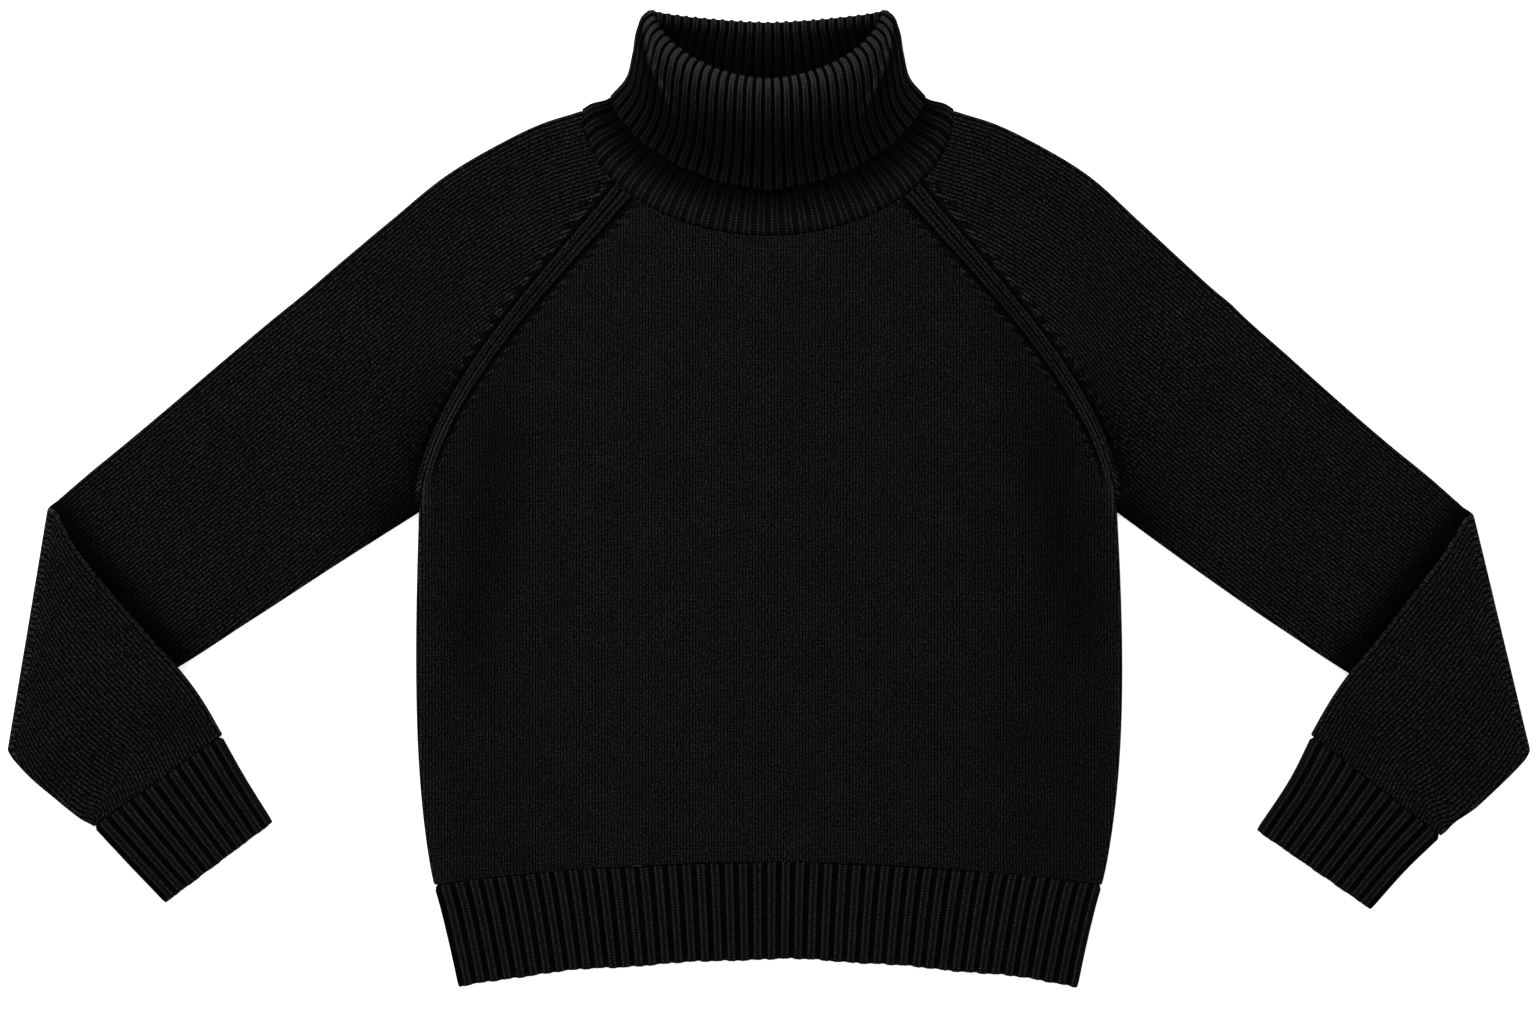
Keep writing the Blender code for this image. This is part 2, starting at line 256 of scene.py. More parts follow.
# Distances from a raglan seam, square to it
raglanMarks = {
    "columnsEnd": (8.2, 9.4),
    # dark lines painted as shade in the grooves: at the seam, outside the pair of firm columns and between
    # them: place, half width, depth
    "grooves": ((0.0, 0.9, 0.9), (6.4, 1.9, 0.97), (2.7, 0.7, 0.5)),
    # narrowing marks: curling loops in a band, each this far from the last
    "pitch": 11.0, "lean": -0.11, "curlScale": 0.28, "contrast": 0.6,
    "bandFrom": (7.2, 8.4), "bandTo": (9.5, 13.0), "slackWidens": -0.25,
}

# The rib, across in shares of the distance from one rib to the next
ribFinish = {
    "course": 2.1,
    # colours by stitch height: the deep and low ones are painted shade in the grooves
    "deep": "#000000", "low": "#060606", "mid": "#161616", "bright": "#383838",
    "roughness": 0.97,
    "relief": 0.9,
    "stray": 0.06, "strayScale": 1.1,
    "columnAt": 0.2, "columnHalf": 0.1, "columnLight": (1.1, 0.5),      # the two columns of each rib, raised and painted lighter down each as highlight
    "groove": (0.26, 0.36),                             # where a rib ends and a groove of purl begins
    "slant": 18.0, "stitch": (0.25, 0.75), "purl": (0.4, 0.6),          # rise and fall, and its mean
    "purlLight": (0.5, 0.08),                           # purl in an open groove and, darker, in a closed one: painted shade in the grooves
    "speckScale": 3.0, "speckRange": (0.6, 1.3),
}


def stitchGroup():
    # one column of V-shaped stitches for each unit of Wale, one stitch for each unit of Course
    tree = bpy.data.node_groups.new("vStitches", "ShaderNodeTree")
    for label in ("Wale", "Course", "Slack"):
        tree.interface.new_socket(label, in_out="INPUT", socket_type="NodeSocketFloat")
    tree.interface.new_socket("Height", in_out="OUTPUT", socket_type="NodeSocketFloat")
    form = stitchForm
    given = addNode(tree, "NodeGroupInput")
    beat, grooveFrom, grooveTo = (
        addNode(tree, "MapRange", (given.outputs["Slack"], 0.0, 1.0, *form[key]))
        for key in ("beat", "grooveFrom", "grooveTo"))
    share = addNode(tree, "Math", (given.outputs["Wale"],), operation="FRACT")
    fromMiddle = addNode(tree, "Math", (share, 0.5), operation="SUBTRACT")
    leg = addNode(tree, "Math", (fromMiddle,), operation="ABSOLUTE")
    slant = addNode(tree, "Math", (leg, form["slant"], given.outputs["Course"]), operation="MULTIPLY_ADD")
    turn = addNode(tree, "Math", (slant, 2 * math.pi), operation="MULTIPLY")
    wave = addNode(tree, "Math", (turn,), operation="SINE")
    stitch = addNode(tree, "Math", (wave, beat, form["level"]), operation="MULTIPLY_ADD")
    side = addNode(tree, "MapRange", (leg, grooveFrom, grooveTo, 1.0, 0.0), interpolation_type="SMOOTHSTEP")
    crease = addNode(tree, "MapRange", (leg, 0.0, form["creaseHalf"], form["creaseLevel"], 1.0),
                     interpolation_type="SMOOTHSTEP")
    column = addNode(tree, "Math", (side, crease), operation="MULTIPLY")
    height = addNode(tree, "Math", (column, stitch), operation="MULTIPLY")
    addNode(tree, "NodeGroupOutput", {"Height": height})
    return tree


vStitches = stitchGroup()


def newFinish(name):
    material = bpy.data.materials.new(name)
    material.use_nodes = True
    material.node_tree.nodes.clear()
    return material, material.node_tree


def clothShader(tree, finish, height, fuzz):
    # dark wool: relief follows the stitch height, and so does colour, with the low parts painted darker as
    # shade between the stitches
    # fuzz brings the specks, and also any painted shade and painted highlight of the tone attribute
    speck = addNode(tree, "Math", (height, fuzz), operation="MULTIPLY")
    ramp = addNode(tree, "ValToRGB", (speck,))
    stops = ramp.color_ramp.elements
    stops[0].color, stops[1].color = linearColour(finish["deep"]), linearColour(finish["bright"])
    for position, key in ((0.22, "low"), (0.5, "mid")):
        stops.new(position).color = linearColour(finish[key])
    bump = addNode(tree, "Bump", {"Height": speck, "Strength": 0.8, "Distance": finish["relief"] * mm})
    shader = addNode(tree, "BsdfPrincipled", {"Base Color": ramp, "Normal": bump, "Specular IOR Level": 0.02,
                                              "Roughness": finish["roughness"]})
    addNode(tree, "OutputMaterial", {"Surface": shader})


def plainKnit(name):
    # Stockinette in fine merino, machine knitted and washed: matt, fuzzy, with thin uneven upright columns.
    # Along the raglan seams two firmer columns stand up beside a dark line, then come narrowing marks.
    material, tree = newFinish(name)
    f, m = knitFinish, raglanMarks
    knitMap, seamMap = (addNode(tree, "UVMap", uv_map=label) for label in ("knit", "seam"))
    marks, slack, tone = (addNode(tree, "Attribute", attribute_name=label).outputs["Fac"]
                          for label in ("marks", "slack", "tone"))
    stray = addNode(tree, "TexNoise", {"Vector": knitMap, "Scale": f["wobbleScale"], "Detail": 3.0},
                    noise_dimensions="2D")
    centred = addNode(tree, "VectorMath", (stray.outputs["Color"], (0.5, 0.5, 0.5)), operation="SUBTRACT")
    spread = addNode(tree, "VectorMath", {0: centred, "Scale": 2 * f["wobble"]}, operation="SCALE")
    moved = addNode(tree, "VectorMath", (knitMap, spread), operation="ADD")
    # the cloth's own columns, and the firm ones along the seam, which never lie slack
    heights = []
    for source, wale, loose in ((moved, f["wale"], slack), (seamMap, f["seamWale"], 0.0)):
        counted = addNode(tree, "VectorMath", (source, (1 / wale, 1 / f["course"], 0)), operation="MULTIPLY")
        parts = addNode(tree, "SeparateXYZ", (counted,))
        heights.append(addNode(tree, "Group", {
            "Wale": parts.outputs["X"], "Course": parts.outputs["Y"], "Slack": loose}, node_tree=vStitches))
    seam = addNode(tree, "SeparateXYZ", (seamMap,))
    d, along = seam.outputs["X"], seam.outputs["Y"]
    near = addNode(tree, "MapRange", (d, *m["columnsEnd"], 1.0, 0.0), interpolation_type="SMOOTHSTEP")
    nearMarks = addNode(tree, "Math", (near, marks), operation="MULTIPLY")
    height = addNode(tree, "Mix", {"Factor": nearMarks, "A": heights[0], "B": heights[1]}, data_type="FLOAT")
    # tone carries painted shade and painted highlight; the dips below paint shade into the grooves along the
    # seam
    factors = [tone]
    for place, half, depth in m["grooves"]:
        gap = addNode(tree, "Math", (d, place), operation="SUBTRACT")
        away = addNode(tree, "Math", (gap,), operation="ABSOLUTE")
        dip = addNode(tree, "MapRange", (away, 0.0, half, depth, 0.0), interpolation_type="SMOOTHSTEP")
        dipHere = addNode(tree, "Math", (dip, marks), operation="MULTIPLY")
        factors.append(addNode(tree, "Math", (1.0, dipHere), operation="SUBTRACT"))
    curl = addNode(tree, "TexNoise", {"Vector": seamMap, "Scale": m["curlScale"], "Detail": 1.0},
                   noise_dimensions="2D")
    slope = addNode(tree, "Math", (d, m["lean"], curl), operation="MULTIPLY_ADD")
    step = addNode(tree, "Math", (along, 1 / m["pitch"], slope), operation="MULTIPLY_ADD")
    loop = addNode(tree, "Math", (step, 2 * math.pi), operation="MULTIPLY")
    swing = addNode(tree, "Math", (loop,), operation="SINE")
    wide = addNode(tree, "Math", (slack, m["slackWidens"], 1.0), operation="MULTIPLY_ADD")
    inward = addNode(tree, "Math", (d, wide), operation="MULTIPLY")
    band = addNode(tree, "MapRange", (d, *m["bandFrom"], 0.0, 1.0), interpolation_type="SMOOTHSTEP")
    bandEnd = addNode(tree, "MapRange", (inward, *m["bandTo"], 1.0, 0.0), interpolation_type="SMOOTHSTEP")
    feather = swing
    for factor in (band, bandEnd, marks):
        feather = addNode(tree, "Math", (feather, factor), operation="MULTIPLY")
    fuzz = addNode(tree, "Math", (feather, m["contrast"], 1.0), operation="MULTIPLY_ADD")
    for key in ("speck", "slow"):
        noise = addNode(tree, "TexNoise", {"Vector": knitMap, "Scale": f[key + "Scale"], "Detail": 2.0},
                        noise_dimensions="2D")
        factors.append(addNode(tree, "MapRange", (noise, 0.3, 0.7, *f[key + "Range"])))
    for factor in factors:
        fuzz = addNode(tree, "Math", (fuzz, factor), operation="MULTIPLY")
    clothShader(tree, f, height, fuzz)
    return material


def ribKnit(name):
    # Two-and-two rib in the same merino: pairs of columns painted lighter down their middles as highlight,
    # with deep grooves of purl between painted dark as shade.
    material, tree = newFinish(name)
    f = ribFinish
    ribMap = addNode(tree, "UVMap", uv_map="rib")
    stretch, tone = (addNode(tree, "Attribute", attribute_name=label).outputs["Fac"]
                     for label in ("stretch", "tone"))
    noise, specks = (addNode(tree, "TexNoise", {"Vector": ribMap, "Scale": f[key], "Detail": 2.0},
                             noise_dimensions="2D") for key in ("strayScale", "speckScale"))
    parts = addNode(tree, "SeparateXYZ", (ribMap,))
    stray = addNode(tree, "MapRange", (noise, 0.0, 1.0, -f["stray"], f["stray"]))
    rib = addNode(tree, "Math", (parts.outputs["X"], stray), operation="ADD")
    nearest = addNode(tree, "Math", (rib,), operation="ROUND")
    off = addNode(tree, "Math", (rib, nearest), operation="SUBTRACT")
    away = addNode(tree, "Math", (off,), operation="ABSOLUTE")
    past = addNode(tree, "Math", (away, f["columnAt"]), operation="SUBTRACT")
    fromColumn = addNode(tree, "Math", (past,), operation="ABSOLUTE")
    column = addNode(tree, "MapRange", (fromColumn, 0.0, f["columnHalf"], *f["columnLight"]),
                     interpolation_type="SMOOTHSTEP")
    course = addNode(tree, "Math", (parts.outputs["Y"], 2 * math.pi / f["course"]), operation="MULTIPLY")
    slant = addNode(tree, "Math", (fromColumn, f["slant"], course), operation="MULTIPLY_ADD")
    wave = addNode(tree, "Math", (slant,), operation="SINE")
    stitch = addNode(tree, "Math", (wave, *f["stitch"]), operation="MULTIPLY_ADD")
    ridge = addNode(tree, "Math", (column, stitch), operation="MULTIPLY")
    groove = addNode(tree, "MapRange", (away, *f["groove"], 0.0, 1.0), interpolation_type="SMOOTHSTEP")
    purl = addNode(tree, "Math", (course,), operation="SINE")
    purlBump = addNode(tree, "Math", (purl, *f["purl"]), operation="MULTIPLY_ADD")
    purlLight = addNode(tree, "Math", (stretch, *f["purlLight"]), operation="MULTIPLY_ADD")
    purlHeight = addNode(tree, "Math", (purlBump, purlLight), operation="MULTIPLY")
    height = addNode(tree, "Mix", {"Factor": groove, "A": ridge, "B": purlHeight}, data_type="FLOAT")
    fuzz = addNode(tree, "MapRange", (specks, 0.3, 0.7, *f["speckRange"]))
    # tone carries any painted shade and painted highlight set on a piece
    toned = addNode(tree, "Math", (fuzz, tone), operation="MULTIPLY")
    clothShader(tree, f, height, toned)
    return material


print("finishes ready")

body = {
    "armpit": (261.0, -10.0),
    "hemSide": (250.0, -289.0),
    "hemSeamRise": 17.0,               # the hem seam is this much higher in the middle
    "sideBelly": 9.2, "bellyLow": 0.78,                 # how far the sides bow out, and how low down
    "lean": 0.9,                       # the waist lies this far towards the wearer's left
    "neckHalf": 139.0, "neckY": 289.0,
    "neckDrop": {"front": 92.0, "back": 27.0},
    "raglanX": {"front": 109.0, "back": 100.0},
    "raglanLeave": {"front": 72.0, "back": 90.0},
    "seamOffset": 1.3,                 # near the armpit the back seam lies this far outside the front one
    "billow": 0.9,
    "rowSpacing": 4.6,
    "middleColumns": 40,               # in each half, past the fine ones beside the seam
    "seeds": {"front": (1.3, 2.2), "back": (4.1, 2.2)}, "unevenSize": 26, "heldAtHem": 12,
    # soft folds: x, y at one end | x, y at the other | half width | depth
    "frontFolds": [
        (-188, 96, -214, -72, 17, -0.9),
        (196, 84, 224, -66, 18, -1.1),
        (-214, -72, -222, -190, 14, -0.5),
        (226, -80, 224, -200, 15, -0.7),
        (-60, 120, 40, 96, 24, 0.35),
        (-120, -60, -20, -92, 26, -0.3),
        (30, -10, 150, 22, 22, 0.35),
        (-30, -150, 130, -180, 24, 0.3),
        (-180, -230, -60, -212, 18, 0.35),
        (70, -236, 190, -216, 16, -0.35),
    ],
    # lines of painted shade beside the sides, along the soft troughs there
    "sideShade": [(-196, 66, -224, -120, 18, 1.0), (204, 66, 236, -110, 18, 1.0)], "shadeDepth": 0.22,
    "sideDark": 0.12, "leftDark": 0.04, "allDark": 0.03,        # painted shade towards both sides and towards the wearer's left, and all of it a little darker
    "sideLight": 0.25, "armpitLight": 1.1,              # painted highlight: how much lighter the outermost edge is painted
    "backFolds": [
        (-150, 60, -196, -90, 20, -0.5),
        (170, 40, 186, -120, 18, -0.45),
        (-70, -120, 90, -150, 26, -0.4),
        (-40, 100, 60, 84, 22, 0.3),
    ],
}

raglanRidge = {
    "ridgeWidth": 5.4,                 # the pair of firm columns beside the seam
    "ridgeHeight": 0.5,
    "grooveAt": 6.4, "grooveDepth": 0.85,
    "rimHeight": 1.3,                  # how far the body's edge stands up over the sleeve at the armpit
    "sleeveDip": 1.5,
}

# columns of the grid beside the seam, close enough together to show the ridge
nearSeam = np.array((0, 0.3, 0.7, 1.3, 1.8, 2.4, 3.0, 3.6, 4.2, 4.8, 5.4, 6.0, 6.7, 7.5, 8.5,
                     10, 12, 14.5, 18))


def neckLine(x, side):
    share = np.clip(1 - (x / body["neckHalf"]) ** 2, 0.0, None)
    return body["neckY"] - body["neckDrop"][side] * np.sqrt(share)


def raglanLine(side, t):
    # the raglan seam from the neckline, t = 0, to the armpit, t = 1
    x = body["raglanX"][side]
    y = neckLine(x, side)
    armX, armY = body["armpit"]
    bends = ((x, y), (x + 60, y - body["raglanLeave"][side]), (armX - 3, armY + 82), (armX, armY))
    t = np.asarray(t, float)[..., None]
    s = 1 - t
    a, b, c, d = (np.array(p) for p in bends)
    line = a * s ** 3 + b * 3 * s * s * t + c * 3 * s * t * t + d * t ** 3
    if side == "back":
        line[..., 0] += body["seamOffset"] * (ease((t - 0.8) / 0.1) * ease((1 - t) / 0.012))[..., 0]
    return line


def softFolds(x, y, folds):
    # soft troughs and ridges that fade out at both ends
    total = np.zeros_like(x)
    for ax, ay, bx, by, width, depth in folds:
        run = np.array([bx - ax, by - ay], float)
        size = np.linalg.norm(run)
        along = ((x - ax) * run[0] + (y - ay) * run[1]) / size ** 2
        off = ((x - ax) * run[1] - (y - ay) * run[0]) / size
        ends = ease((along + 0.25) / 0.5) * ease((1.25 - along) / 0.5)
        total += depth * bell(off, width) * ends
    return total


uneven = {"slow": 0.28, "fine": 0.16, "fineSize": 9}
heldRun = 14.0                         # folds fade out over this far beside an edge


def unevenness(x, y, size, seeds):
    return (uneven["slow"] * wander(x, y, size, seeds[0])
            + uneven["fine"] * wander(x, y, uneven["fineSize"], seeds[1]))


def ridgeLift(d, fade):
    r = raglanRidge
    crown = np.clip(1 - ((d - r["ridgeWidth"] / 2) / (r["ridgeWidth"] / 2)) ** 2, 0, 1) ** 0.7
    return fade * (r["ridgeHeight"] * crown - r["grooveDepth"] * bell(d - r["grooveAt"], 0.85)
                   + 0.3 * bell(d - 8.2, 0.9))


def seamFade(share):
    return 1 - ease((share - 0.82) / 0.14)


# how far the edges turn in along the raglan, the same on the body and on the sleeve
turnStops = ((0.0, 0.88, 0.95, 0.985, 1.0), (0.0, 0.0, 0.6, 0.85, 1.0))


def panelEdge(side):
    # rows up the side edge to the armpit, then up the raglan seam to the neckline
    sideLength = body["armpit"][1] - body["hemSide"][1]
    sideMarks = roundedMarks(sideLength, body["rowSpacing"])
    sideMarks = sideMarks[sideMarks < sideLength - 2]
    fineShares = np.linspace(0, 1, 201)
    seamRun = runLength(raglanLine(side, fineShares))
    seamMarks = roundedMarks(seamRun[-1], body["rowSpacing"])
    seamMarks = np.append(seamMarks[seamMarks < seamRun[-1] - 1.4], seamRun[-1])[::-1]
    shares = np.interp(seamMarks, seamRun, fineShares)
    t = sideMarks / sideLength
    sideX = mix(body["hemSide"][0], body["armpit"][0], t)
    sideX += body["sideBelly"] * np.sin(np.pi * t ** body["bellyLow"])
    seam = raglanLine(side, shares)
    slope = np.gradient(seam, axis=0)
    alongSide, alongSeam = np.zeros(len(t)), np.zeros(len(shares))
    return SimpleNamespace(
        line=np.concatenate([np.stack([sideX, body["hemSide"][1] + sideMarks], -1), seam]),
        above=np.concatenate([alongSide, 1 - shares]),          # share of the way from armpit to neckline
        below=np.concatenate([1 - t, alongSeam]),               # share of the way from armpit to hem
        closed=np.interp(1 - np.concatenate([alongSide, 1 - shares]), *turnStops),
        fade=np.concatenate([alongSide, seamFade(shares)]),
        steep=np.concatenate([1 + alongSide, np.abs(slope[:, 1]) / np.linalg.norm(slope, axis=1)]),
        length=np.concatenate([sideMarks, sideLength + seamRun[-1] - seamMarks]))


def panelGrid(edge, front):
    # x, y, z, distance in from the edge, and share of the half width, from one side to the other
    half = edge.line[:, 0] - seamGap / 2
    rows = []
    for width, y, closed in zip(half, edge.line[:, 1], edge.closed):
        share = np.linspace(0, 1, body["middleColumns"] + 1)[1:]
        marks = np.concatenate([nearSeam, mix(nearSeam[-1], width, share)])
        inset, z = edgeTurn(np.maximum(marks, closed * seamGap * 2), knitCloth, front, closed)
        across = 1 - inset / width
        across[-1] = 0.0
        row = np.stack([across * width, np.full(len(marks), y), z, marks, across], -1)
        mirrored = row[:-1][::-1].copy()
        row[:, 0] *= -1
        rows.append(np.concatenate([row, mirrored]))
    return np.moveaxis(np.array(rows), 2, 0)


def bodyPanel(side):
    front = side == "front"
    edge = panelEdge(side)
    x, y, z, reach, across = panelGrid(edge, front)
    above, below, closed, fade, steep, length = (column[:, None] for column in (
        edge.above, edge.below, edge.closed, edge.fade, edge.steep, edge.length))
    x = x + body["lean"] * np.sin(np.pi * below)
    y = y + below * body["hemSeamRise"] * (1 - across ** 2)
    neckX = across * body["raglanX"][side]
    y = y + above ** 1.5 * (neckLine(neckX, side) - neckLine(body["raglanX"][side], side))
    y[0] += seamGap / 2
    y[-1] -= seamGap
    if front:
        rowShare = np.linspace(0, 1, len(y))[:, None]
        z = z + body["billow"] * np.sin(np.pi * (1 - across) / 2) * np.sin(np.pi * rowShare)
    d = reach * steep
    lift = ridgeLift(d, fade)
    toHem = np.abs(y - y[:1])
    toNeck = np.abs(y[-1:] - y) + 200 * (below > 0)
    held = ease(reach / heldRun) * ease(toHem / body["heldAtHem"]) * ease(toNeck / heldRun)
    folds = softFolds(x, y, body[f"{side}Folds"])
    lift = lift + held * (folds + unevenness(x, y, body["unevenSize"], body["seeds"][side]))
    if front:
        armZone = np.where(below > 0, ease(((1 - below) - 0.45) / 0.5), ease((1 - above - 0.5) / 0.4))
        lift = lift + raglanRidge["rimHeight"] * armZone * bell(reach - 7, 8)
    freeEdge = np.where((fade > 0) | (closed < 1), d, 99.0)
    over = roundOff(np.minimum(np.minimum(toHem, toNeck), freeEdge), knitCloth["wall"])
    under = np.full(over.shape, knitCloth["wall"] / 2)
    uvs = {"knit": np.stack([x, y], -1), "seam": np.stack([d, np.broadcast_to(length, x.shape)], -1)}
    # painted shade and painted highlight, carried to the material in the tone attribute
    shade = sum(body["shadeDepth"] * bell(softFolds(x, y, [line]) - 1, 0.75) for line in body["sideShade"])
    shade = shade + body["sideDark"] * ease((np.abs(x) - 120) / 120) + body["leftDark"] * x / 240
    light = body["sideLight"] * np.exp(-reach / 7) * (below > 0)
    if front:
        light += body["armpitLight"] * ease((1 - above - 0.35) / 0.5) * (below == 0) * np.exp(-reach / 4)
    values = {"marks": fade, "tone": 1 - (shade + body["allDark"]) + light, "slack": 0.0}
    grid = np.stack([x, y, z], -1)
    return knitShell(f"{side}Panel", grid, lift, over, under, 1 if front else -1, uvs, values)


plainFinish = plainKnit("stockinetteMerino")
dress(bodyPanel("front"), "front_panel", "plain_knit", plainFinish, flat=(0.53, 0.525), area=0.222,
      held="laid", rests_on=["back_panel"])
dress(bodyPanel("back"), "back_panel", "plain_knit", plainFinish, flat=(0.53, 0.56), area=0.236,
      held="laid", rests_on=["floor"])


def ribWave(phase):
    # 1 on a rib of two columns, -1 in the groove between ribs
    turn = np.cos(2 * np.pi * phase)
    ridge = np.tanh(2.4 * (turn + 0.45)) / np.tanh(2.4 * 1.45)
    off = np.abs(phase - np.round(phase))
    return ridge - 0.22 * bell(off, 0.06)


def runDown(middle):
    # run down each column of a tube from its seam
    steps = np.linalg.norm(np.diff(middle, axis=0), axis=2)
    return np.concatenate([np.zeros((1, middle.shape[1])), np.cumsum(steps, axis=0)])


def ribShell(name, middle, down, phase, ribs, side, tone, opened, creases=0.0):
    # a ribbed tube round its middle points, joined to its neighbour at the first row, free at the last.
    # Grooves are filled by the last rows beside the seam and at the free edge.
    toEnd = down[-1:] - down
    change, across, along, lean = ribs["uneven"]
    vary = 1 + change * np.sin(phase * across)[None] * np.sin(down / along + phase[None] * lean)
    strength = ease((down - 0.6) / ribs["ramp"]) * ease((toEnd - 0.8) / ribs["ramp"])
    lift = ribs["amplitude"] * ribWave(phase)[None] * strength * vary + creases
    direction = middle[-1] - middle[-1 - ribs["edgeRows"]]
    direction /= np.linalg.norm(direction, axis=1, keepdims=True)
    scallop, sway, run = ribs["scallop"]
    out = scallop * (0.5 * ribs["outside"] * ribWave(phase) + 0.25 * np.sin(phase * sway))[None]
    middle = middle + direction[None] * (out * ease(1 - toEnd / run))[..., None]
    beadAt, beadHalf = ribs["bead"]
    over = roundOff(toEnd, ribCloth["wall"]) * (1 + 0.35 * bell(toEnd - beadAt, beadHalf))
    over, under, lift = seamTuck(down, over, over, lift)
    uvs = {"rib": np.stack([np.broadcast_to(phase, down.shape), down], -1)}
    atSeam, (atEdge, edgeRun) = ribs["filledAtSeam"], ribs["filledAtEdge"]
    filled = atEdge * ease(1 - toEnd / edgeRun) + atSeam * ease(1 - down / 3)
    values = {"tone": tone, "stretch": np.maximum(opened, filled)}
    return knitShell(name, middle, lift, over, under, side, uvs, values, joined=0)


def ribTube(name, lines, half, ribs, side):
    # a flattened tube: lines give, for each row, the way across from one side to the other
    steps = ribs["steps"]
    rings = []
    for width in half:
        marks = np.linspace(0, 2 * width, ribs["count"] * steps + 1)
        reach = np.minimum(marks, 2 * width - marks)
        ring = []
        for layer in ("front", "back"):
            inset, z = edgeTurn(reach, ribCloth, layer == "front", 1.0)
            share = np.where(marks < width, inset / (2 * width), 1 - inset / (2 * width))
            ring.append(np.stack([share, z], -1))
        rings.append(np.concatenate([ring[0], ring[1][::-1][1:]]))
    share, z = np.moveaxis(np.array(rings), 2, 0)
    middle = np.empty((*share.shape, 3))
    for r, line in enumerate(lines):
        middle[r, :, :2] = line(share[r])
    middle[..., 2] = z
    phase = np.arange(share.shape[1]) / steps + 0.25
    down = runDown(middle)
    opened = 0.5 + 0.5 * np.sin(phase * 1.9 + 2 * np.sin(phase * 0.7))[None] * np.cos(down / 31 + phase * 0.4)
    return ribShell(name, middle, down, phase, ribs, side, ribs["tone"], 0.3 * opened)


# Relief of the ribs: amplitude, how unevenly it changes across and along, and the run over which it rises.
# At the free edge, scallop is its size, sway and run, and bead is the place and half width of a round edge.
# Grooves are filled by the last rows at both ends: how far, and over what run.
flatRibs = {
    "steps": 8, "tone": 0.82,
    "amplitude": 0.75, "uneven": (0.18, 1.9, 17, 0.7), "ramp": 3,
    "edgeRows": 1, "outside": 1, "bead": (1.2, 1.0),
    "filledAtSeam": 0.5, "filledAtEdge": (0.9, 3.5),
}

hem = {
    **flatRibs,
    "corner": (231.5, -365.5),
    "edgeRise": 20.5,
    "count": 47,                       # ribs on each layer, about 10 mm apart
    "scallop": (1.0, 2.7, 5), "rowSpacing": 3.0,
}


def hemRib():
    (topHalf, topY), (endHalf, endY) = body["hemSide"], hem["corner"]
    length = topY - endY
    marks = roundedMarks(length + tuck["run"], hem["rowSpacing"]) - tuck["run"]
    lines, halves = [], []
    for t in marks / length:
        half = mix(topHalf, endHalf, max(t, 0) ** 0.85)
        y = mix(topY - seamGap / 2, endY, t)
        rise = mix(body["hemSeamRise"], hem["edgeRise"], t)

        def line(share, half=half, y=y, rise=rise):
            x = (share * 2 - 1) * half
            sway = 0.7 * np.sin(x / 31 + 1.1) + 0.5 * np.sin(x / 13)
            return np.stack([x, y + rise * (1 - (x / half) ** 2) + sway], -1)
        lines.append(line)
        halves.append(half)
    return ribTube("hemRib", lines, halves, hem, -1)


ribFinishMaterial = ribKnit("twoByTwoRibMerino")
dress(hemRib(), "hem_rib", "rib_knit", ribFinishMaterial, flat=(0.97, 0.08), held="laid",
      rests_on=["floor"])

elbow = {"axisZ": 6.7, "dropStart": 10.0, "dropRun": 40.0, "steps": 12, "tipRise": 8.0, "cornerFall": 7.0}
elbow["middleR"] = elbow["axisZ"] - (knitCloth["low"] + knitCloth["high"]) / 2
elbow["drop"] = 2 * elbow["axisZ"] - knitCloth["high"] - knitCloth["wall"] / 2

# Sleeve sections: raglan share | top edge x, y of the right and of the left sleeve
sleeveHead = [
    (0.000, (139, 290.6), (139, 290.6)),
    (0.200, (168, 281.8), (168, 281.8)),
    (0.380, (203, 265), (203, 265)),
    (0.560, (240, 243), (239, 243)),
    (0.730, (282, 209), (277, 209)),
    (0.880, (325, 173), (316, 173)),
    (0.950, (346, 155), (336, 155)),
    (0.985, (357, 146), (347, 146)),
    (1.000, (362, 142), (351, 142)),
]

# Top edge x, y | underside x, y, from the armpit to the elbow, then folded back towards the cuff
upperArm = {
    "right": [(362, 142, 261, -10), (404, 107, 321, -47.8), (445, 72, 389, -92), (483, 40, 456, -134),
              (512, 16, 516, -162.5), (539, -7.5, 568.8, -187)],
    "left": [(351, 142, 261, -10), (390.4, 106.5, 319, -52), (429.5, 71.5, 384, -97), (466, 40, 453, -140.5),
             (497, 14.5, 513, -166), (528, -12, 570, -187)],
}
foreArm = {
    "right": [(520, -33, 550, -210), (496, -64, 531, -227), (464, -101, 516, -239),
              (431.5, -137.5, 509, -243), (408.5, -176.5, 505, -245)],
    "left": [(505, -41, 551, -211), (482, -71, 532, -230), (455, -106, 515, -242),
             (428, -138.5, 508, -249), (406.5, -176.5, 504, -252)],
}
cuffRows = {
    "right": [(410, -177, 505, -245), (393, -207, 478, -274), (371.3, -242, 451.3, -302)],
    "left": [(408, -177, 504, -252), (393, -207, 480, -275), (366.3, -248, 451.3, -307)],
}

